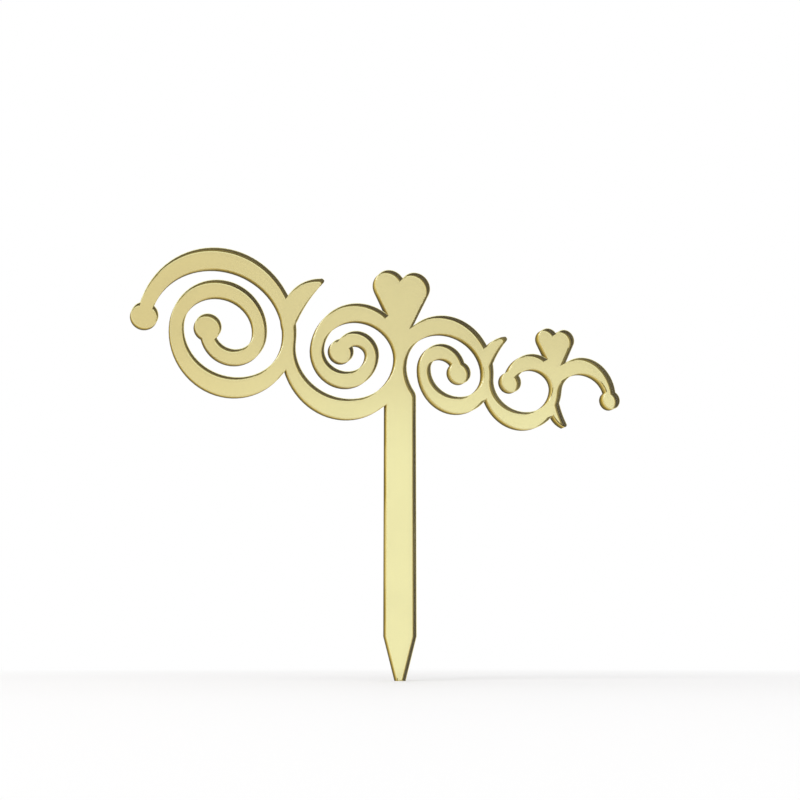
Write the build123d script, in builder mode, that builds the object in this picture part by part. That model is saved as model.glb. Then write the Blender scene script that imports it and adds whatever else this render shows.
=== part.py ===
from build123d import *
import math
import os

# A cake topper, laser-cut in one outline from a sheet of gold mirror acrylic.
# Millimetres, +Z up. The plate stands in the XZ plane and its mirror face looks along -Y.
# The origin is the middle of the stake, level with the surface that it is pushed into.

# Sheet: three bonded layers with one outline
ACRYLIC_THICKNESS = 2.85
FILM_THICKNESS = 0.05
COAT_THICKNESS = 0.10

# Ornament: a running scroll whose coils get smaller to the right
ORNAMENT_WIDTH = 148.0
BASELINE_HEIGHT = 22.0
COILS_LEFT_OF_STAKE = 2
NEXT_COIL_SHARE = 0.82

# Strokes: thin where the stem crosses its axis, thick at the top or bottom of a coil
THICK_STROKE = 6.2
THIN_STROKE = 3.8
BALL_DIAMETER = 7.4
NEXT_STROKE_SHARE = 0.95

# Where each half turn of a coil ends on the axis, as a share of the coil's radius from its centre
COIL_END_SHARES = (
    (-0.56, 0.58, -0.14),
    (-0.50, 0.48, -0.08),
    (-0.46, 0.34),
    (-0.34,),
)
COIL_STROKE_SHARES = (0.90, 0.80, 0.70)

# Leaves in the open corner of a coil, as shares of the coil's radius and of the leaf's length
LEAF_REACH_SHARE = 0.52
LEAF_RISE_SHARE = 1.22
LEAF_BACK_SHARE = 0.32
LEAF_FRONT_SHARE = 0.06
LEAF_TIP_RADIUS = 0.7

# Hearts in the closed corners above the axis, the first of them over the stake
HEART_WIDTH = 17.0
HEART_HEIGHT = 22.8
HEART_LOBE_SHARE = 0.54
HEART_RISE_SHARE = 0.34
NEXT_HEART_SHARE = 0.70

# Stake
STAKE_WIDTH = 8.9
STAKE_DEPTH = 50.0
STAKE_POINT_LENGTH = 12.0
STAKE_TIP_WIDTH = 2.4
STAKE_SHOULDER_RADIUS = 3.0

# Sizes that follow from those above
coil_count = len(COIL_END_SHARES)
sheet_thickness = ACRYLIC_THICKNESS + FILM_THICKNESS + COAT_THICKNESS
coil_scales = [NEXT_COIL_SHARE**i for i in range(coil_count + 1)]
stroke_scales = [NEXT_STROKE_SHARE**i for i in range(coil_count + 2)]

# Coils that touch in a row and rest on one level line have their centres on this slope
axis_tilt = math.asin((1 - NEXT_COIL_SHARE) / (1 + NEXT_COIL_SHARE))
end_balls = BALL_DIAMETER * (stroke_scales[0] + stroke_scales[-1]) / 2
first_radius = (ORNAMENT_WIDTH - end_balls) / (2 * math.cos(axis_tilt) * sum(coil_scales))
radii = [first_radius * scale for scale in coil_scales]
thick_strokes = [THICK_STROKE * scale for scale in stroke_scales]
thin_strokes = [THIN_STROKE * scale for scale in stroke_scales]
balls = [BALL_DIAMETER * scale for scale in stroke_scales]

# Places where the stem crosses the axis, measured along it from the coil pair above the stake
crossings = [-2 * sum(radii[:COILS_LEFT_OF_STAKE])]
for radius in radii:
    crossings.append(crossings[-1] + 2 * radius)
centres = [crossings[i] + radii[i] for i in range(len(radii))]
stem_sides = [1 - 2 * (i % 2) for i in range(len(radii))]

# Height of the axis over the stake
last_left_radius = radii[COILS_LEFT_OF_STAKE - 1]
axis_height = BASELINE_HEIGHT + THICK_STROKE / 2 + last_left_radius * (1 - math.sin(axis_tilt))


def on_axis(along, above=0):
    """Turn a place on the sloping axis into a place on the plate."""
    x = along * math.cos(axis_tilt) + above * math.sin(axis_tilt)
    z = axis_height - along * math.sin(axis_tilt) + above * math.cos(axis_tilt)
    return (x, z)


def half_turn(start, end, side, start_width, middle_width, end_width):
    """Draw a half turn of a stroke between two places on the axis, edged by two half ellipses."""
    way = math.copysign(1, end - start)
    middle_radius = abs(end - start) / 2
    with BuildLine() as edges:
        for edge in (1, -1):
            edge_start = start - way * edge * start_width / 2
            edge_end = end + way * edge * end_width / 2
            EllipticalCenterArc(
                center=((edge_start + edge_end) / 2, 0),
                x_radius=abs(edge_end - edge_start) / 2,
                y_radius=middle_radius + edge * middle_width / 2,
                start_angle=0,
                arc_size=180 * side,
            )
        outer, inner = edges.edges()
        Line(outer @ 0, inner @ 0)
        Line(outer @ 1, inner @ 1)
    make_face(edges.edges())


def leaf(base, radius, side):
    """Draw a curved leaf that grows from the axis beside a coil, and give the place of its tip."""
    tip = (base[0] + LEAF_REACH_SHARE * radius, base[1] + side * LEAF_RISE_SHARE * radius)
    length = math.dist(base, tip)
    with BuildLine() as edges:
        SagittaArc(base, tip, side * length * LEAF_BACK_SHARE)
        SagittaArc(base, tip, side * length * LEAF_FRONT_SHARE)
    make_face(edges.edges())
    return tip


def teardrop(point, centre, radius):
    """Draw a disc drawn out to a point."""
    distance = math.dist(point, centre)
    way = math.atan2(centre[1] - point[1], centre[0] - point[0])
    half_angle = math.asin(radius / distance)
    flank = distance * math.cos(half_angle)
    touches = [
        (point[0] + flank * math.cos(way + turn), point[1] + flank * math.sin(way + turn))
        for turn in (-half_angle, half_angle)
    ]
    with BuildLine() as edges:
        Polyline(point, *touches, close=True)
    make_face(edges.edges())
    with Locations(centre):
        Circle(radius)


# Scrollwork, drawn with its axis level
with BuildSketch() as scrollwork:
    for i, side in enumerate(stem_sides):
        half_turn(crossings[i], crossings[i + 1], side, thin_strokes[i], thick_strokes[i], thin_strokes[i + 1])
    for i, end_shares in enumerate(COIL_END_SHARES):
        start = crossings[i + 1]
        start_width = thin_strokes[i + 1]
        side = -stem_sides[i]
        for end_share, stroke_share in zip(end_shares, COIL_STROKE_SHARES):
            end = centres[i] + end_share * radii[i]
            end_width = thin_strokes[i]
            half_turn(start, end, side, start_width, thick_strokes[i] * stroke_share, end_width)
            start, start_width, side = end, end_width, -side
        with Locations((start, 0)):
            Circle(balls[i] / 2)
    with Locations((crossings[0], 0)):
        Circle(balls[0] / 2)
    with Locations((crossings[-1], 0)):
        Circle(balls[-1] / 2)
    for i in range(1, coil_count + 1):
        if i != COILS_LEFT_OF_STAKE:
            tip = leaf((crossings[i], 0), radii[i], -stem_sides[i])
            fillet(scrollwork.vertices().sort_by_distance(tip)[0], radius=LEAF_TIP_RADIUS)

# Hearts: two teardrops that share their point
heart_crossings = range(COILS_LEFT_OF_STAKE, coil_count + 1, 2)
with BuildSketch() as hearts:
    for number, i in enumerate(heart_crossings):
        scale = NEXT_HEART_SHARE**number
        lobe_radius = scale * HEART_WIDTH * HEART_LOBE_SHARE / 2
        lobe_offset = scale * HEART_WIDTH / 2 - lobe_radius
        point = on_axis(crossings[i], HEART_RISE_SHARE * radii[i])
        lobe_height = point[1] + scale * HEART_HEIGHT - lobe_radius
        for lobe_side in (-1, 1):
            teardrop(point, (point[0] + lobe_side * lobe_offset, lobe_height), lobe_radius)

# Stake, with its head filling the corner between the two coils above it
with BuildSketch() as stake:
    with BuildLine():
        Polyline(
            (-STAKE_WIDTH / 2, axis_height),
            (-STAKE_WIDTH / 2, STAKE_POINT_LENGTH - STAKE_DEPTH),
            (-STAKE_TIP_WIDTH / 2, -STAKE_DEPTH),
            (STAKE_TIP_WIDTH / 2, -STAKE_DEPTH),
            (STAKE_WIDTH / 2, STAKE_POINT_LENGTH - STAKE_DEPTH),
            (STAKE_WIDTH / 2, axis_height),
            close=True,
        )
    make_face()
    for i in (COILS_LEFT_OF_STAKE - 1, COILS_LEFT_OF_STAKE):
        with Locations(on_axis(centres[i])):
            Circle(radii[i] - thin_strokes[i + 1] / 2, mode=Mode.SUBTRACT)
    shoulder = stake.vertices().group_by(Axis.X)[-1].sort_by(Axis.Y)[-1]
    fillet(shoulder, radius=STAKE_SHOULDER_RADIUS)

# One outline for all three layers
with BuildSketch() as outline:
    with Locations((0, axis_height)):
        add(scrollwork.sketch, rotation=-math.degrees(axis_tilt))
    add(hearts.sketch)
    add(stake.sketch)

# Layers, from the back of the sheet to its mirror face
coat_plane = Plane.XZ.offset(-sheet_thickness / 2)
film_plane = coat_plane.offset(COAT_THICKNESS)
acrylic_plane = film_plane.offset(FILM_THICKNESS)

with BuildPart() as back_coat:
    with BuildSketch(coat_plane):
        add(outline.sketch)
    extrude(amount=COAT_THICKNESS)

with BuildPart() as mirror_film:
    with BuildSketch(film_plane):
        add(outline.sketch)
    extrude(amount=FILM_THICKNESS)

with BuildPart() as acrylic_sheet:
    with BuildSketch(acrylic_plane):
        add(outline.sketch)
    extrude(amount=ACRYLIC_THICKNESS)

back_coat.part.label = "back_coat"
mirror_film.part.label = "mirror_film"
acrylic_sheet.part.label = "acrylic_sheet"

os.makedirs("parts", exist_ok=True)
export_step(back_coat.part, "parts/back_coat.step")
export_step(mirror_film.part, "parts/mirror_film.step")
export_step(acrylic_sheet.part, "parts/acrylic_sheet.step")
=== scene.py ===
import math

import bmesh
import bpy
from bpy.props import FloatProperty, FloatVectorProperty, PointerProperty
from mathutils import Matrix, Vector


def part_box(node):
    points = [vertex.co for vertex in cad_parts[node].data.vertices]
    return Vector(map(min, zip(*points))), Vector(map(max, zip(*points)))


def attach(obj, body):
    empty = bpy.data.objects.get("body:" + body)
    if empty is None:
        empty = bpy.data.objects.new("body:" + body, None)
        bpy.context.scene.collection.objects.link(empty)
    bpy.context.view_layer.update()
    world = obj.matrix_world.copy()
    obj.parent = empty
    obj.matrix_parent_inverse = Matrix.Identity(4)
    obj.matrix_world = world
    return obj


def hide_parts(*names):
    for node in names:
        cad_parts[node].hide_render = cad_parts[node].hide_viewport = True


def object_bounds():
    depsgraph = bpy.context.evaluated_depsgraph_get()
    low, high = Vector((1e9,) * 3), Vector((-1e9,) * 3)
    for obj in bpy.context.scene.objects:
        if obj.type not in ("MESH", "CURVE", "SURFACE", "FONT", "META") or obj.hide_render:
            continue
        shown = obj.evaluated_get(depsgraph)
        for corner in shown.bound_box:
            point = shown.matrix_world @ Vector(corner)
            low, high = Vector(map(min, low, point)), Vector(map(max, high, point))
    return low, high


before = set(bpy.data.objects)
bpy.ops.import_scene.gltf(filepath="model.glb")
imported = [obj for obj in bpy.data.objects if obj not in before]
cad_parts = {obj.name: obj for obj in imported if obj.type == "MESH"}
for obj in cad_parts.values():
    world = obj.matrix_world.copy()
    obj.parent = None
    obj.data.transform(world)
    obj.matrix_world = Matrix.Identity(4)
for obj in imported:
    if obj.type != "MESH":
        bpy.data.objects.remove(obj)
CAD_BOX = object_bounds()

bl_info = {
    "name": "Scroll cake topper",
    "version": (1, 0, 0),
    "blender": (4, 5, 0),
    "location": "View3D > Sidebar > Topper",
    "description": "Dresses the cake topper as laser-cut gold mirror acrylic and sets it in a small studio",
    "category": "Object",
}

# Which way a layer's shown face looks along Y
FRONT = -1.0
BACK = 1.0

# Sheet, where the share of a face's normal along Y tells a flat face from a wall
ACRYLIC_IOR = 1.49
WELD_DISTANCE = 0.000001
CREASE_ANGLE = math.radians(32.0)
FLAT_SHARE = 0.9
WALL_SHARE = 0.5

# Floor, which fades to white between two distances from the stake
FLOOR_REACH = 6.0
FADE_START = 0.05
FADE_END = 0.45

# Room that the mirror and the acrylic show, with the parts of a direction over which its colours change
BLACK = (0.0, 0.0, 0.0, 1.0)
WHITE = (1.0, 1.0, 1.0, 1.0)
ROOM_LOW_LEFT = (0.95, 0.86, 0.74, 1.0)
ROOM_HIGH_LEFT = (0.80, 0.716, 0.616, 1.0)
ROOM_HIGH_RIGHT = (0.825, 0.78, 0.745, 1.0)
LEFT_TO_RIGHT = (0.05, 0.32)
LOW_TO_HIGH = (0.155, 0.27)

# Lamp and camera
KEY_LIGHT_SIZE = (0.7, 0.5)
KEY_LIGHT_PLACE = (-0.65, -0.35, 0.80)
KEY_LIGHT_AIM = (0.0, 0.0, 0.03)
FRAME_WIDTH = 36.0
NEAREST_SEEN = 0.01
FURTHEST_SEEN = 50.0


# Settings

class TopperSheetSettings(bpy.types.PropertyGroup):
    """Sizes and colours of the three layers of the sheet."""

    rim_width: FloatProperty(
        name="Rim width", description="Width of the tiny bevel that the cut leaves round the mirror face",
        default=0.0002, min=0.0, unit="LENGTH", precision=6)
    wear_width: FloatProperty(
        name="Wear width", description="Width of the band along the outline that shows wear",
        default=0.0004, min=0.0, unit="LENGTH", precision=6)
    film_gap: FloatProperty(
        name="Film gap", description="Clearance that keeps two touching layers apart in the render",
        default=0.000006, min=0.0, unit="LENGTH", precision=6)
    paint_setback: FloatProperty(
        name="Paint setback", description="How far the laser burns the paint back from the cut",
        default=0.00012, min=0.0, unit="LENGTH", precision=6)
    paint_rim: FloatProperty(
        name="Paint rim", description="Width of the softened rim round the paint",
        default=0.00002, min=0.0, unit="LENGTH", precision=6)
    scorch_width: FloatProperty(
        name="Scorch width", description="Width of the scorched band along the edge of the paint",
        default=0.0005, min=0.0, unit="LENGTH", precision=6)
    gold_tint: FloatVectorProperty(
        name="Gold tint", description="Colour of light that has passed through the acrylic",
        default=(0.977, 0.952, 0.688, 1.0), size=4, min=0.0, max=1.0, subtype="COLOR")
    film_colour: FloatVectorProperty(
        name="Mirror film", description="Colour of the aluminium film",
        default=(0.93, 0.92, 0.88, 1.0), size=4, min=0.0, max=1.0, subtype="COLOR")
    # The amber is partly the acrylic's own tint and partly painted light trapped in the clear edge
    edge_amber: FloatVectorProperty(
        name="Edge from outside", description="Colour of the middle of the cut edge from outside",
        default=(0.32, 0.215, 0.014, 1.0), size=4, min=0.0, max=1.0, subtype="COLOR")
    # Painted glow: stands in for light refracted in the clear edge beside the mirror face
    edge_painted_glow: FloatVectorProperty(
        name="Edge beside the face",
        description="Colour of the cut edge from outside, beside the mirror face",
        default=(0.74, 0.58, 0.17, 1.0), size=4, min=0.0, max=1.0, subtype="COLOR")
    # Painted shade: the edge is darkened beside the film, where the clear edge holds little light
    edge_painted_shade: FloatVectorProperty(
        name="Edge beside the film",
        description="Colour of the cut edge from outside, beside the mirror film",
        default=(0.105, 0.083, 0.02, 1.0), size=4, min=0.0, max=1.0, subtype="COLOR")
    # Painted glints: stretches of the edge lightened to stand in for light that the clear edge gathers
    edge_painted_glint: FloatVectorProperty(
        name="Edge glints", description="Colour of the stretches of the cut edge that gather light",
        default=(0.70, 0.58, 0.22, 1.0), size=4, min=0.0, max=1.0, subtype="COLOR")
    # Painted glow: the inside of the edge emits light to stand in for light that passes through the clear
    # edge
    edge_painted_glow_strength: FloatProperty(
        name="Light in the edge", description="Strength of the light that the cut edge holds",
        default=0.25, min=0.0)
    # Colours of that painted glow, with painted shade towards the film
    edge_olive: FloatVectorProperty(
        name="Edge from inside", description="Colour of the light in the edge, beside the mirror face",
        default=(0.58, 0.47, 0.155, 1.0), size=4, min=0.0, max=1.0, subtype="COLOR")
    edge_umber: FloatVectorProperty(
        name="Edge from inside, deep", description="Colour of the light in the edge, beside the film",
        default=(0.22, 0.165, 0.04, 1.0), size=4, min=0.0, max=1.0, subtype="COLOR")
    paint_grey: FloatVectorProperty(
        name="Back paint", description="Colour of the protective paint",
        default=(0.15, 0.15, 0.145, 1.0), size=4, min=0.0, max=1.0, subtype="COLOR")
    paint_scorch: FloatVectorProperty(
        name="Scorched paint", description="Colour of the paint where the laser has scorched it",
        default=(0.075, 0.055, 0.035, 1.0), size=4, min=0.0, max=1.0, subtype="COLOR")


class TopperStageSettings(bpy.types.PropertyGroup):
    """Floor, light and camera."""

    floor_colour: FloatVectorProperty(
        name="Floor", description="Colour of the plain floor",
        default=(0.90, 0.90, 0.905, 1.0), size=4, min=0.0, max=1.0, subtype="COLOR")
    world_strength: FloatProperty(
        name="Room light", description="Strength of the even light from all round", default=0.85, min=0.0)
    key_power: FloatProperty(
        name="Key light", description="Power of the large lamp at the upper left",
        default=4.0, min=0.0, unit="POWER")
    camera_azimuth: FloatProperty(
        name="Camera azimuth", description="How far the camera stands round the topper from square on",
        default=math.radians(-18.5), subtype="ANGLE")
    camera_distance: FloatProperty(
        name="Camera distance", description="Level distance from the stake to the camera",
        default=0.34, min=0.1, unit="LENGTH")
    camera_height: FloatProperty(
        name="Camera height", description="Height of the camera over the floor",
        default=0.006, unit="LENGTH")
    camera_lens: FloatProperty(
        name="Lens", description="Focal length on a 36 mm wide frame", default=54.2, min=10.0)
    aim_height: FloatProperty(
        name="Aim height", description="Height over the floor of the point in the middle of the picture",
        default=0.0790, unit="LENGTH")


# Helpers for node trees

def feed(tree, socket, value):
    """Link a socket to another one, or set its own value."""
    if isinstance(value, bpy.types.NodeSocket):
        tree.links.new(value, socket)
    else:
        socket.default_value = value


def calculate(tree, operation, first, second=0.0, clamp=False):
    """Put two numbers through a Math node."""
    node = tree.nodes.new("ShaderNodeMath")
    node.operation = operation
    node.use_clamp = clamp
    feed(tree, node.inputs[0], first)
    feed(tree, node.inputs[1], second)
    return node.outputs[0]


def plus(tree, first, second):
    """Add two numbers."""
    return calculate(tree, "ADD", first, second)


def times(tree, first, second):
    """Multiply two numbers."""
    return calculate(tree, "MULTIPLY", first, second)


def added(tree, base, mask, amount):
    """A base value with an amount of a mask added to it."""
    return plus(tree, times(tree, mask, amount), base)


def scaled(tree, vector, factor):
    """Multiply a vector by a number."""
    node = tree.nodes.new("ShaderNodeVectorMath")
    node.operation = "SCALE"
    feed(tree, node.inputs[0], vector)
    feed(tree, node.inputs["Scale"], factor)
    return node.outputs[0]


def stretched(tree, vector, scale, turn=(0.0, 0.0, 0.0)):
    """Turn and stretch texture coordinates."""
    node = tree.nodes.new("ShaderNodeMapping")
    feed(tree, node.inputs["Vector"], vector)
    node.inputs["Rotation"].default_value = turn
    node.inputs["Scale"].default_value = scale
    return node.outputs[0]


def noise(tree, vector, scale, detail=2.0, roughness=0.5):
    """Noise between 0 and 1 at a scale in cycles per metre."""
    node = tree.nodes.new("ShaderNodeTexNoise")
    feed(tree, node.inputs["Vector"], vector)
    feed(tree, node.inputs["Scale"], scale)
    node.inputs["Detail"].default_value = detail
    node.inputs["Roughness"].default_value = roughness
    return node.outputs["Fac"]


def ranged(tree, value, low, high, new_low=0.0, new_high=1.0):
    """Map a number smoothly from one range to another."""
    node = tree.nodes.new("ShaderNodeMapRange")
    node.interpolation_type = "SMOOTHSTEP"
    feed(tree, node.inputs["Value"], value)
    feed(tree, node.inputs["From Min"], low)
    feed(tree, node.inputs["From Max"], high)
    feed(tree, node.inputs["To Min"], new_low)
    feed(tree, node.inputs["To Max"], new_high)
    return node.outputs["Result"]


def mixed(tree, factor, first, second):
    """Mix two colours."""
    node = tree.nodes.new("ShaderNodeMix")
    node.data_type = "RGBA"
    feed(tree, node.inputs["Factor"], factor)
    feed(tree, node.inputs["A"], first)
    feed(tree, node.inputs["B"], second)
    colours = [socket for socket in node.outputs if socket.type == "RGBA"]
    return colours[0]


def tinted(colour, share):
    """A colour made darker or lighter by a share."""
    return (*(channel * share for channel in colour[:3]), 1.0)


def raised(tree, height, distance, strength):
    """Turn a height into a bumped normal."""
    node = tree.nodes.new("ShaderNodeBump")
    feed(tree, node.inputs["Height"], height)
    node.inputs["Distance"].default_value = distance
    node.inputs["Strength"].default_value = strength
    return node.outputs["Normal"]


def attribute(tree, name):
    """Read a number that the mesh carries."""
    node = tree.nodes.new("ShaderNodeAttribute")
    node.attribute_name = name
    return node.outputs["Fac"]


def group_with(name, kind, inputs, outputs):
    """Start a node group with named sockets and give it with its two end nodes."""
    tree = bpy.data.node_groups.new(name, kind)
    for label, socket_type in inputs:
        tree.interface.new_socket(label, in_out="INPUT", socket_type=socket_type)
    for label, socket_type in outputs:
        tree.interface.new_socket(label, in_out="OUTPUT", socket_type=socket_type)
    return tree, tree.nodes.new("NodeGroupInput").outputs, tree.nodes.new("NodeGroupOutput").inputs


def placed(tree, group, **values):
    """Place a shader node group in a material and set its inputs."""
    node = tree.nodes.new("ShaderNodeGroup")
    node.node_tree = group
    for label, value in values.items():
        feed(tree, node.inputs[label], value)
    return node.outputs


def new_material(name):
    """Start a material and give its tree, its Principled shader and its object coordinates."""
    material = bpy.data.materials.new(name)
    material.use_nodes = True
    tree = material.node_tree
    place = tree.nodes.new("ShaderNodeTexCoord").outputs["Object"]
    return material, tree, tree.nodes["Principled BSDF"].inputs, place


# Surface effects that several materials share

def hairline_scratches(name):
    """Fine straight scratches in three directions, as a mask."""
    tree, given, result = group_with(
        name, "ShaderNodeTree",
        [("Vector", "NodeSocketVector"), ("Scale", "NodeSocketFloat"), ("Amount", "NodeSocketFloat")],
        [("Mask", "NodeSocketFloat")])
    line_width = 0.012
    directions = (0.35, 1.25, 2.30)
    total = 0.0
    for turn in directions:
        lines = stretched(tree, given["Vector"], scale=(1.0, 1.0, 0.03), turn=(0.0, turn, 0.0))
        cells = tree.nodes.new("ShaderNodeTexVoronoi")
        cells.feature = "DISTANCE_TO_EDGE"
        feed(tree, cells.inputs["Vector"], lines)
        feed(tree, cells.inputs["Scale"], given["Scale"])
        thin = ranged(tree, cells.outputs["Distance"], 0.0, line_width, new_low=1.0, new_high=0.0)
        patches = ranged(tree, noise(tree, lines, scale=260.0), 0.52, 0.70)
        total = calculate(tree, "MAXIMUM", total, times(tree, thin, patches))
    feed(tree, result["Mask"], calculate(tree, "MULTIPLY", total, given["Amount"], clamp=True))
    return tree


def handling_marks(name):
    """Soft patches left by fingers and wiping, as a mask."""
    tree, given, result = group_with(
        name, "ShaderNodeTree",
        [("Vector", "NodeSocketVector"), ("Amount", "NodeSocketFloat")],
        [("Mask", "NodeSocketFloat")])
    patches = ranged(tree, noise(tree, given["Vector"], scale=55.0, detail=3.0), 0.46, 0.72)
    wiped = stretched(tree, given["Vector"], scale=(1.0, 1.0, 0.25), turn=(0.0, 0.7, 0.0))
    mask = times(tree, patches, noise(tree, wiped, scale=420.0, detail=3.0))
    feed(tree, result["Mask"], calculate(tree, "MULTIPLY", mask, given["Amount"], clamp=True))
    return tree


def edge_wear(name):
    """Nicks and scorching along the outline, as a mask that follows the layer's wear attribute."""
    tree, given, result = group_with(
        name, "ShaderNodeTree",
        [("Vector", "NodeSocketVector"), ("Wear", "NodeSocketFloat"), ("Amount", "NodeSocketFloat")],
        [("Mask", "NodeSocketFloat")])
    grit = noise(tree, given["Vector"], scale=900.0, detail=4.0, roughness=0.65)
    ragged = ranged(tree, grit, 0.25, 0.75, new_low=-0.30, new_high=0.30)
    worn = ranged(tree, plus(tree, given["Wear"], ragged), 0.30, 1.05)
    feed(tree, result["Mask"], calculate(tree, "MULTIPLY", worn, given["Amount"], clamp=True))
    return tree


def laser_lines(name):
    """Lines that the laser's pulses leave across the thickness of the sheet, as a height."""
    tree, given, result = group_with(
        name, "ShaderNodeTree",
        [("Vector", "NodeSocketVector"), ("Scale", "NodeSocketFloat")],
        [("Height", "NodeSocketFloat")])
    across = stretched(tree, given["Vector"], scale=(1.0, 0.04, 1.0))
    feed(tree, result["Height"], noise(tree, across, given["Scale"], detail=3.0, roughness=0.6))
    return tree


EFFECTS = {
    "scratches": ("Hairline scratches", hairline_scratches),
    "marks": ("Handling marks", handling_marks),
    "wear": ("Edge wear", edge_wear),
    "lines": ("Laser lines", laser_lines),
}


def shared_effects():
    """The shader groups, each built the first time that it is asked for."""
    groups = bpy.data.node_groups
    return {key: groups.get(name) or build(name) for key, (name, build) in EFFECTS.items()}


# Materials

def gold_acrylic(settings, effects):
    """Polished clear acrylic with a gold tint."""
    material, tree, shader, place = new_material("gold tinted acrylic")
    scratches = placed(tree, effects["scratches"], Vector=place, Scale=160.0, Amount=0.45)["Mask"]
    marks = placed(tree, effects["marks"], Vector=place, Amount=1.0)["Mask"]
    wear = placed(tree, effects["wear"], Vector=place, Wear=attribute(tree, "wear"), Amount=0.5)["Mask"]
    dulled = tinted(settings.gold_tint, share=0.965)
    feed(tree, shader["Base Color"], mixed(tree, marks, settings.gold_tint, dulled))

    # Polished, and a little blurred where it is marked, scratched or worn
    blur = 0.004
    for mask, mask_blur in ((marks, 0.006), (scratches, 0.12), (wear, 0.10)):
        blur = added(tree, blur, mask, mask_blur)
    feed(tree, shader["Roughness"], blur)
    dents = plus(tree, scratches, wear)
    feed(tree, shader["Normal"], raised(tree, dents, distance=0.00001, strength=0.10))
    shader["Transmission Weight"].default_value = 1.0
    shader["IOR"].default_value = ACRYLIC_IOR
    return material


def depth_in_sheet(tree, place):
    """How deep a point of the cut edge lies, from 0 at the mirror face to 1 at the film."""
    front, back = (corner.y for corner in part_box("acrylic_sheet"))
    parts = tree.nodes.new("ShaderNodeSeparateXYZ")
    feed(tree, parts.inputs[0], place)
    return ranged(tree, parts.outputs["Y"], front, back)


def edge_from_outside(tree, settings, lines, depth, drift):
    """Colour of the cut edge from outside: a painted glow beside the face, then amber with painted glints,
    and painted shade beside the film.
    """
    bright = tinted(settings.edge_amber, share=1.2)
    colour = mixed(tree, lines, settings.edge_amber, bright)
    # Painted glow beside the mirror face, giving way to the amber
    past_face = ranged(tree, depth, 0.05, 0.40)
    colour = mixed(tree, past_face, settings.edge_painted_glow, colour)
    # Painted glints, where the drift noise is high
    glints = ranged(tree, drift, 0.45, 0.75, new_high=0.4)
    colour = mixed(tree, glints, colour, settings.edge_painted_glint)
    # Painted shade beside the film
    painted_shade_near_film = ranged(tree, depth, 0.45, 0.90)
    return mixed(tree, painted_shade_near_film, colour, settings.edge_painted_shade)


def edge_from_inside(tree, settings, place, depth):
    """Painted glow that stands in for light in the clear cut edge: painted shade beside the film, streaked
    along the outline, and a paler painted reflection where the mirror film shows it.
    """
    pale = tinted(settings.edge_olive, share=1.8)
    bounces = tree.nodes.new("ShaderNodeLightPath").outputs["Glossy Depth"]
    # Painted reflection: the glow is paler where the mirror film shows the edge
    mirrored = calculate(tree, "MINIMUM", bounces, 1.0)
    colour = mixed(tree, mirrored, settings.edge_olive, pale)
    along = stretched(tree, place, scale=(0.04, 1.0, 0.04))
    streaks = noise(tree, along, scale=1100.0, detail=1.0)
    shift = ranged(tree, streaks, 0.3, 0.7, new_low=-0.45, new_high=0.45)
    # Painted shade: the glow dims towards the film
    painted_shade_near_film = ranged(tree, plus(tree, depth, shift), 0.25, 0.80)
    return mixed(tree, painted_shade_near_film, colour, settings.edge_umber)


def cut_edge(settings, effects):
    """Laser-cut acrylic edge, matt from outside with painted glow, glints and shade, and seen through the
    sheet a dim band of painted glow that stands in for light in the clear edge.
    """
    material, tree, shader, place = new_material("laser-cut acrylic edge")
    lines = placed(tree, effects["lines"], Vector=place, Scale=1500.0)["Height"]
    marks = placed(tree, effects["marks"], Vector=place, Amount=1.0)["Mask"]
    inside = tree.nodes.new("ShaderNodeNewGeometry").outputs["Backfacing"]
    outside = calculate(tree, "SUBTRACT", 1.0, inside)
    across = stretched(tree, place, scale=(1.0, 0.2, 1.0))
    drift = noise(tree, across, scale=75.0)
    shift = ranged(tree, drift, 0.3, 0.7, new_low=0.08, new_high=-0.08)
    depth = plus(tree, depth_in_sheet(tree, place), shift)
    outer = edge_from_outside(tree, settings, lines, depth, drift)
    inner = edge_from_inside(tree, settings, place, depth)
    # From inside, the edge is black and shows only its painted glow
    feed(tree, shader["Base Color"], mixed(tree, inside, outer, BLACK))
    feed(tree, shader["Emission Color"], mixed(tree, inside, BLACK, inner))
    shader["Emission Strength"].default_value = settings.edge_painted_glow_strength
    feed(tree, shader["Roughness"], added(tree, base=0.3, mask=marks, amount=0.2))
    feed(tree, shader["Normal"], raised(tree, lines, distance=0.00004, strength=0.15))
    thin_coat = times(tree, outside, 0.18)
    feed(tree, shader["Coat Weight"], thin_coat)
    shader["Coat Roughness"].default_value = 0.08
    shader["Specular IOR Level"].default_value = 0.0
    shader["IOR"].default_value = ACRYLIC_IOR
    return material


def mirror_film(settings, effects):
    """Vacuum-deposited aluminium behind the acrylic, very slightly uneven."""
    material, tree, shader, place = new_material("aluminium mirror film")
    cloud = noise(tree, place, scale=90.0, detail=3.0)
    scratches = placed(tree, effects["scratches"], Vector=place, Scale=60.0, Amount=0.3)["Mask"]
    dull = tinted(settings.film_colour, share=0.96)
    feed(tree, shader["Base Color"], mixed(tree, cloud, dull, settings.film_colour))
    feed(tree, shader["Roughness"], added(tree, base=0.006, mask=scratches, amount=0.10))
    waves = noise(tree, place, scale=38.0, detail=1.0)
    feed(tree, shader["Normal"], raised(tree, waves, distance=0.0004, strength=0.10))
    shader["Metallic"].default_value = 1.0
    return material


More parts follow.
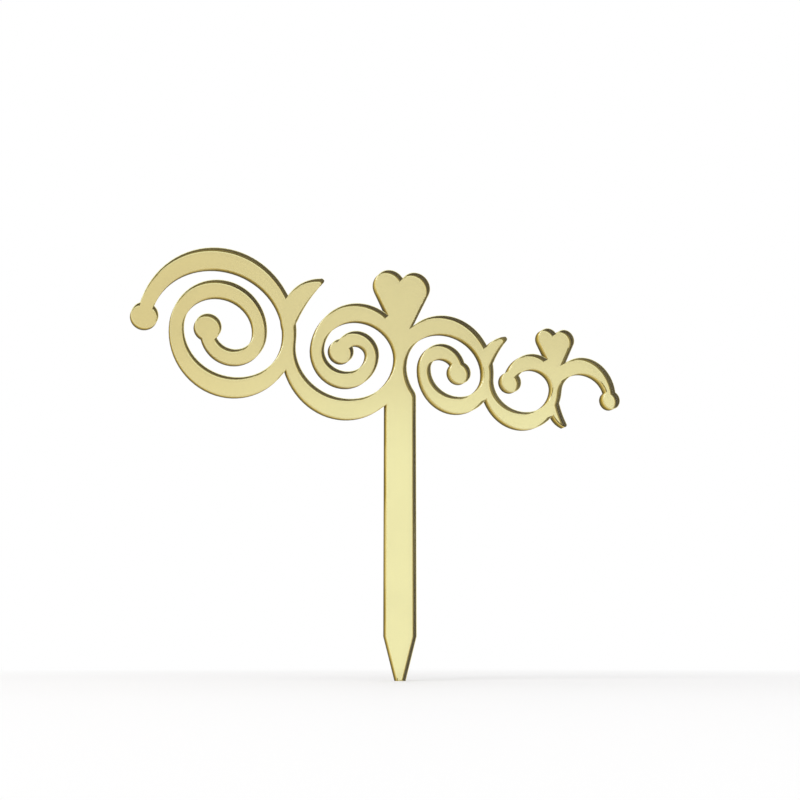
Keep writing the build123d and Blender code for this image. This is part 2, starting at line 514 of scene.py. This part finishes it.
def back_paint(settings, effects):
    """Matt grey paint with a sprayed texture and streaks, scorched along the cut."""
    material, tree, shader, place = new_material("grey back paint")
    spray = noise(tree, place, scale=2600.0, detail=3.0, roughness=0.6)
    cloud = ranged(tree, noise(tree, place, scale=70.0, detail=3.0), 0.32, 0.68)
    upright = stretched(tree, place, scale=(1.0, 1.0, 0.02))
    streaks = ranged(tree, noise(tree, upright, scale=900.0, detail=3.0), 0.35, 0.65)
    scratches = placed(tree, effects["scratches"], Vector=place, Scale=110.0, Amount=0.55)["Mask"]
    marks = placed(tree, effects["marks"], Vector=place, Amount=1.0)["Mask"]
    wear = placed(tree, effects["wear"], Vector=place, Wear=attribute(tree, "wear"), Amount=0.85)["Mask"]
    pale = tinted(settings.paint_grey, share=1.38)
    rubbed = tinted(settings.paint_grey, share=1.7)
    colour = mixed(tree, times(tree, streaks, 0.35), settings.paint_grey, pale)
    colour = mixed(tree, times(tree, cloud, 0.65), colour, pale)
    colour = mixed(tree, scratches, colour, rubbed)
    feed(tree, shader["Base Color"], mixed(tree, wear, colour, settings.paint_scorch))
    feed(tree, shader["Roughness"], added(tree, base=0.62, mask=marks, amount=-0.22))
    height = calculate(tree, "SUBTRACT", spray, scratches)
    feed(tree, shader["Normal"], raised(tree, height, distance=0.00005, strength=0.45))
    return material


# The rule for one layer of the sheet

LAYER_RULE = "Laser-cut layer"
LAYER_INPUTS = [
    ("Geometry", "NodeSocketGeometry"),
    ("Shown Side", "NodeSocketFloat"),
    ("Setback", "NodeSocketFloat"),
    ("Gap", "NodeSocketFloat"),
    ("Rim Width", "NodeSocketFloat"),
    ("Wear Width", "NodeSocketFloat"),
    ("Face Material", "NodeSocketMaterial"),
    ("Edge Material", "NodeSocketMaterial"),
]


def moved(tree, layer, chosen, offset):
    """Move the chosen points of a layer."""
    node = tree.nodes.new("GeometryNodeSetPosition")
    feed(tree, node.inputs["Geometry"], layer)
    if chosen is not None:
        feed(tree, node.inputs["Selection"], chosen)
    feed(tree, node.inputs["Offset"], offset)
    return node.outputs["Geometry"]


def noted(tree, layer, name, data_type, domain, value, chosen=None):
    """Store a named attribute on a layer."""
    node = tree.nodes.new("GeometryNodeStoreNamedAttribute")
    node.data_type = data_type
    node.domain = domain
    node.inputs["Name"].default_value = name
    feed(tree, node.inputs["Geometry"], layer)
    if chosen is not None:
        feed(tree, node.inputs["Selection"], chosen)
    feed(tree, node.inputs["Value"], value)
    return node.outputs["Geometry"]


def forgotten(tree, layer, name):
    """Remove a named attribute from a layer."""
    node = tree.nodes.new("GeometryNodeRemoveAttribute")
    node.inputs["Name"].default_value = name
    feed(tree, node.inputs["Geometry"], layer)
    return node.outputs["Geometry"]


def pushed_out(tree, layer, chosen, distance):
    """Extrude the chosen faces together and give the layer and its new top."""
    node = tree.nodes.new("GeometryNodeExtrudeMesh")
    node.mode = "FACES"
    node.inputs["Individual"].default_value = False
    feed(tree, node.inputs["Mesh"], layer)
    feed(tree, node.inputs["Selection"], chosen)
    feed(tree, node.inputs["Offset Scale"], distance)
    return node.outputs["Mesh"], node.outputs["Top"]


def in_triangles(tree, layer, chosen):
    """Divide the chosen faces of a layer into triangles."""
    node = tree.nodes.new("GeometryNodeTriangulate")
    feed(tree, node.inputs["Mesh"], layer)
    feed(tree, node.inputs["Selection"], chosen)
    return node.outputs["Mesh"]


def along_y(tree, distance):
    """A vector along Y."""
    node = tree.nodes.new("ShaderNodeCombineXYZ")
    feed(tree, node.inputs["Y"], distance)
    return node.outputs[0]


def smooth_layer(tree, layer, sharp_angle):
    """Shade a layer smooth, with creases where two faces meet at more than an angle."""
    faces = tree.nodes.new("GeometryNodeSetShadeSmooth")
    faces.domain = "FACE"
    feed(tree, faces.inputs["Geometry"], layer)
    edges = tree.nodes.new("GeometryNodeSetShadeSmooth")
    edges.domain = "EDGE"
    feed(tree, edges.inputs["Geometry"], faces.outputs["Geometry"])
    angle = tree.nodes.new("GeometryNodeInputMeshEdgeAngle").outputs["Unsigned Angle"]
    feed(tree, edges.inputs["Shade Smooth"], calculate(tree, "LESS_THAN", angle, sharp_angle))
    return edges.outputs["Geometry"]


def dressed(tree, layer, material, chosen=None):
    """Give the chosen faces of a layer a material."""
    node = tree.nodes.new("GeometryNodeSetMaterial")
    feed(tree, node.inputs["Geometry"], layer)
    if chosen is not None:
        feed(tree, node.inputs["Selection"], chosen)
    feed(tree, node.inputs["Material"], material)
    return node.outputs["Geometry"]


def laser_cut_layer():
    """Nodes that turn a plain layer into a laser-cut one: set back, with a rim and a wear band."""
    tree, given, result = group_with(
        LAYER_RULE, "GeometryNodeTree", LAYER_INPUTS, [("Geometry", "NodeSocketGeometry")])
    layer = forgotten(tree, given["Geometry"], "custom_normal")

    # The part of a point's normal in the plane of the sheet leads straight out of the outline
    normal = tree.nodes.new("ShaderNodeSeparateXYZ")
    feed(tree, normal.inputs[0], tree.nodes.new("GeometryNodeInputNormal").outputs["Normal"])
    in_plane = tree.nodes.new("ShaderNodeCombineXYZ")
    feed(tree, in_plane.inputs["X"], normal.outputs["X"])
    feed(tree, in_plane.inputs["Z"], normal.outputs["Z"])
    unit = tree.nodes.new("ShaderNodeVectorMath")
    unit.operation = "NORMALIZE"
    feed(tree, unit.inputs[0], in_plane.outputs[0])
    layer = noted(tree, layer, "outward", "FLOAT_VECTOR", "POINT", unit.outputs[0])
    stored = tree.nodes.new("GeometryNodeInputNamedAttribute")
    stored.data_type = "FLOAT_VECTOR"
    stored.inputs["Name"].default_value = "outward"
    inward = scaled(tree, stored.outputs["Attribute"], -1.0)

    # The outline draws in, the hidden face leaves room for its neighbour and the shown face for its rim
    shown_side = given["Shown Side"]
    facing = times(tree, normal.outputs["Y"], shown_side)
    on_shown = calculate(tree, "GREATER_THAN", facing, 0.0)
    on_hidden = calculate(tree, "LESS_THAN", facing, 0.0)
    gap = along_y(tree, times(tree, shown_side, given["Gap"]))
    rim_depth = times(tree, given["Rim Width"], shown_side)
    layer = moved(tree, layer, None, scaled(tree, inward, given["Setback"]))
    layer = moved(tree, layer, on_hidden, gap)
    layer = moved(tree, layer, on_shown, along_y(tree, times(tree, rim_depth, -1.0)))

    # Rim, then a flat band inside it
    shown_face = calculate(tree, "GREATER_THAN", facing, FLAT_SHARE)
    layer, top = pushed_out(tree, layer, shown_face, given["Rim Width"])
    layer = moved(tree, layer, top, scaled(tree, inward, given["Rim Width"]))
    layer = noted(tree, layer, "wear", "FLOAT", "POINT", 1.0)
    layer, top = pushed_out(tree, layer, top, 0.0)
    layer = moved(tree, layer, top, scaled(tree, inward, given["Wear Width"]))
    layer = noted(tree, layer, "wear", "FLOAT", "POINT", 0.0, top)
    layer = forgotten(tree, layer, "outward")

    # The flat faces become triangles after all moves, so that none is turned over
    flatness = calculate(tree, "ABSOLUTE", normal.outputs["Y"])
    layer = in_triangles(tree, layer, calculate(tree, "GREATER_THAN", flatness, FLAT_SHARE))
    layer = smooth_layer(tree, layer, CREASE_ANGLE)
    real = tree.nodes.new("GeometryNodeRealizeInstances")
    feed(tree, real.inputs["Geometry"], layer)
    wall = calculate(tree, "LESS_THAN", flatness, WALL_SHARE)
    layer = dressed(tree, real.outputs["Geometry"], given["Face Material"])
    feed(tree, result["Geometry"], dressed(tree, layer, given["Edge Material"], wall))
    return tree


def welded_copy(node_name):
    """A welded copy of a CAD node's mesh whose two flat faces are each in one piece."""
    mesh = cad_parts[node_name].data.copy()
    shape = bmesh.new()
    shape.from_mesh(mesh)
    bmesh.ops.remove_doubles(shape, verts=shape.verts, dist=WELD_DISTANCE)
    flat = [face for face in shape.faces if abs(face.normal.y) > FLAT_SHARE]
    bmesh.ops.dissolve_faces(shape, faces=flat)
    shape.to_mesh(mesh)
    shape.free()
    return mesh


def cut_from_node(name, node_name, values):
    """Run the layer's rule on a copy of a CAD node and keep the result as a plain mesh."""
    tree = bpy.data.node_groups.get(LAYER_RULE) or laser_cut_layer()
    source = bpy.data.objects.new(name + "_source", welded_copy(node_name))
    bpy.context.scene.collection.objects.link(source)
    rule = source.modifiers.new(LAYER_RULE, "NODES")
    rule.node_group = tree
    for item in tree.interface.items_tree:
        if item.in_out == "INPUT" and item.name in values:
            rule[item.identifier] = values[item.name]
    evaluated = source.evaluated_get(bpy.context.evaluated_depsgraph_get())
    mesh = bpy.data.meshes.new_from_object(evaluated)
    source.modifiers.remove(rule)
    bpy.data.objects.remove(source)
    if len(mesh.polygons) == 0:
        raise RuntimeError(f"the rule left nothing of {node_name}")
    mesh.name = name
    piece = bpy.data.objects.new(name, mesh)
    bpy.context.scene.collection.objects.link(piece)
    return piece


# Stage

def lay_floor(context, settings):
    """A wide plain floor under the stake's tip that fades into the white background."""
    level = CAD_BOX[0].z
    signs = ((-1, -1), (1, -1), (1, 1), (-1, 1))
    corners = [(x * FLOOR_REACH, y * FLOOR_REACH, level) for x, y in signs]
    mesh = bpy.data.meshes.new("floor")
    mesh.from_pydata(corners, [], [(0, 1, 2, 3)])
    floor = bpy.data.objects.new("floor", mesh)
    context.scene.collection.objects.link(floor)
    mesh.materials.append(floor_material(settings))


def floor_material(settings):
    """Matt pale floor with a fine grain near the topper and plain white further off."""
    material, tree, shader, place = new_material("pale floor")
    grain = noise(tree, place, scale=900.0, detail=3.0)
    darker = tinted(settings.floor_colour, share=0.99)
    feed(tree, shader["Base Color"], mixed(tree, grain, darker, settings.floor_colour))
    shader["Roughness"].default_value = 0.7
    shader["Specular IOR Level"].default_value = 0.2

    # The white is for the camera, the mirror and the acrylic alone, and lights nothing
    length = tree.nodes.new("ShaderNodeVectorMath")
    length.operation = "LENGTH"
    feed(tree, length.inputs[0], place)
    white = tree.nodes.new("ShaderNodeEmission")
    blend = tree.nodes.new("ShaderNodeMixShader")
    fade = ranged(tree, length.outputs["Value"], FADE_START, FADE_END)
    path = tree.nodes.new("ShaderNodeLightPath").outputs
    seen = calculate(tree, "MAXIMUM", path["Is Glossy Ray"], path["Is Transmission Ray"])
    seen = calculate(tree, "MAXIMUM", seen, path["Is Camera Ray"])
    feed(tree, blend.inputs["Fac"], times(tree, fade, seen))
    feed(tree, blend.inputs[1], tree.nodes["Principled BSDF"].outputs["BSDF"])
    feed(tree, blend.inputs[2], white.outputs["Emission"])
    feed(tree, tree.nodes["Material Output"].inputs["Surface"], blend.outputs["Shader"])
    return material


def light_room(context, settings):
    """Even light from all round, and a white room for the camera, the mirror and the acrylic."""
    world = bpy.data.worlds.new("white room")
    world.use_nodes = True
    tree = world.node_tree
    even = tree.nodes["Background"]
    even.inputs["Color"].default_value = WHITE
    even.inputs["Strength"].default_value = settings.world_strength
    direction = tree.nodes.new("ShaderNodeSeparateXYZ")
    feed(tree, direction.inputs[0], tree.nodes.new("ShaderNodeTexCoord").outputs["Generated"])
    side = ranged(tree, direction.outputs["X"], *LEFT_TO_RIGHT)
    low = mixed(tree, side, ROOM_LOW_LEFT, WHITE)
    high = mixed(tree, side, ROOM_HIGH_LEFT, ROOM_HIGH_RIGHT)
    height = ranged(tree, direction.outputs["Z"], *LOW_TO_HIGH)
    seen = tree.nodes.new("ShaderNodeBackground")
    feed(tree, seen.inputs["Color"], mixed(tree, height, low, high))
    plain = tree.nodes.new("ShaderNodeBackground")
    plain.inputs["Color"].default_value = WHITE
    path = tree.nodes.new("ShaderNodeLightPath").outputs
    mirrored = calculate(tree, "MAXIMUM", path["Is Glossy Ray"], path["Is Transmission Ray"])
    first = tree.nodes.new("ShaderNodeMixShader")
    feed(tree, first.inputs["Fac"], mirrored)
    feed(tree, first.inputs[1], even.outputs["Background"])
    feed(tree, first.inputs[2], seen.outputs["Background"])
    last = tree.nodes.new("ShaderNodeMixShader")
    feed(tree, last.inputs["Fac"], path["Is Camera Ray"])
    feed(tree, last.inputs[1], first.outputs["Shader"])
    feed(tree, last.inputs[2], plain.outputs["Background"])
    feed(tree, tree.nodes["World Output"].inputs["Surface"], last.outputs["Shader"])
    context.scene.world = world


def aim(thing, target):
    """Turn a lamp or a camera to look at a point."""
    way = Vector(target) - thing.location
    thing.rotation_euler = way.to_track_quat("-Z", "Y").to_euler()


def hang_key_light(context, settings):
    """One large soft lamp at the upper left, in front of the topper."""
    lamp = bpy.data.lights.new("key light", "AREA")
    lamp.shape = "RECTANGLE"
    lamp.size, lamp.size_y = KEY_LIGHT_SIZE
    lamp.energy = settings.key_power
    key = bpy.data.objects.new("key light", lamp)
    key.location = KEY_LIGHT_PLACE
    aim(key, KEY_LIGHT_AIM)
    context.scene.collection.objects.link(key)


def set_camera(context, settings):
    """Stand the camera low and to the left of the mirror face."""
    data = bpy.data.cameras.new("camera")
    data.sensor_width = FRAME_WIDTH
    data.lens = settings.camera_lens
    data.clip_start = NEAREST_SEEN
    data.clip_end = FURTHEST_SEEN
    camera = bpy.data.objects.new("camera", data)
    floor_level = CAD_BOX[0].z
    camera.location = (
        math.sin(settings.camera_azimuth) * settings.camera_distance,
        -math.cos(settings.camera_azimuth) * settings.camera_distance,
        floor_level + settings.camera_height,
    )
    aim(camera, (0.0, 0.0, floor_level + settings.aim_height))
    context.scene.collection.objects.link(camera)
    context.scene.camera = camera


# Operators

class TOPPER_OT_acrylic_sheet(bpy.types.Operator):
    """Cut the gold acrylic sheet, with its bevelled rim and its laser-cut edge"""
    bl_idname = "topper.acrylic_sheet"
    bl_label = "Acrylic sheet"

    def execute(self, context):
        settings = context.scene.topper_sheet
        effects = shared_effects()
        piece = cut_from_node("gold_acrylic_sheet", "acrylic_sheet", {
            "Shown Side": FRONT,
            "Setback": 0.0,
            "Gap": settings.film_gap,
            "Rim Width": settings.rim_width,
            "Wear Width": settings.wear_width,
            "Face Material": gold_acrylic(settings, effects),
            "Edge Material": cut_edge(settings, effects),
        })
        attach(piece, "root")
        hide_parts("acrylic_sheet")
        return {"FINISHED"}


class TOPPER_OT_mirror_film(bpy.types.Operator):
    """Give the mirror film its aluminium finish"""
    bl_idname = "topper.mirror_film"
    bl_label = "Mirror film"

    def execute(self, context):
        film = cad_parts["mirror_film"]
        film.data.materials.clear()
        film.data.materials.append(mirror_film(context.scene.topper_sheet, shared_effects()))
        return {"FINISHED"}


class TOPPER_OT_back_coat(bpy.types.Operator):
    """Coat the back with grey paint, burnt back a little from the cut"""
    bl_idname = "topper.back_coat"
    bl_label = "Back coat"

    def execute(self, context):
        settings = context.scene.topper_sheet
        paint = back_paint(settings, shared_effects())
        piece = cut_from_node("painted_back_coat", "back_coat", {
            "Shown Side": BACK,
            "Setback": settings.paint_setback,
            "Gap": settings.film_gap,
            "Rim Width": settings.paint_rim,
            "Wear Width": settings.scorch_width,
            "Face Material": paint,
            "Edge Material": paint,
        })
        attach(piece, "root")
        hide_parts("back_coat")
        return {"FINISHED"}


class TOPPER_OT_stage(bpy.types.Operator):
    """Set out the floor, the light and the camera"""
    bl_idname = "topper.stage"
    bl_label = "Stage"

    def execute(self, context):
        settings = context.scene.topper_stage
        context.scene.view_settings.view_transform = "Standard"
        lay_floor(context, settings)
        light_room(context, settings)
        hang_key_light(context, settings)
        set_camera(context, settings)
        return {"FINISHED"}


# Panel

OPERATORS = (TOPPER_OT_acrylic_sheet, TOPPER_OT_mirror_film, TOPPER_OT_back_coat, TOPPER_OT_stage)


class TOPPER_PT_panel(bpy.types.Panel):
    """Settings and steps of the cake topper"""
    bl_idname = "TOPPER_PT_panel"
    bl_label = "Scroll cake topper"
    bl_space_type = "VIEW_3D"
    bl_region_type = "UI"
    bl_category = "Topper"

    def draw(self, context):
        layout = self.layout
        for settings in (context.scene.topper_sheet, context.scene.topper_stage):
            column = layout.column(align=True)
            for name in settings.__annotations__:
                column.prop(settings, name)
        for operator in OPERATORS:
            layout.operator(operator.bl_idname)


# Registering and running

CLASSES = (TopperSheetSettings, TopperStageSettings, *OPERATORS, TOPPER_PT_panel)


def register():
    """Register the classes and hang the settings on the scene."""
    for cls in CLASSES:
        bpy.utils.register_class(cls)
    bpy.types.Scene.topper_sheet = PointerProperty(type=TopperSheetSettings)
    bpy.types.Scene.topper_stage = PointerProperty(type=TopperStageSettings)


def unregister():
    """Take the settings and the classes away again."""
    del bpy.types.Scene.topper_stage
    del bpy.types.Scene.topper_sheet
    for cls in reversed(CLASSES):
        bpy.utils.unregister_class(cls)


def main():
    """Build the pieces and set the stage."""
    register()
    bpy.ops.topper.acrylic_sheet()
    bpy.ops.topper.mirror_film()
    bpy.ops.topper.back_coat()
    bpy.ops.topper.stage()


if __name__ == "__main__":
    main()
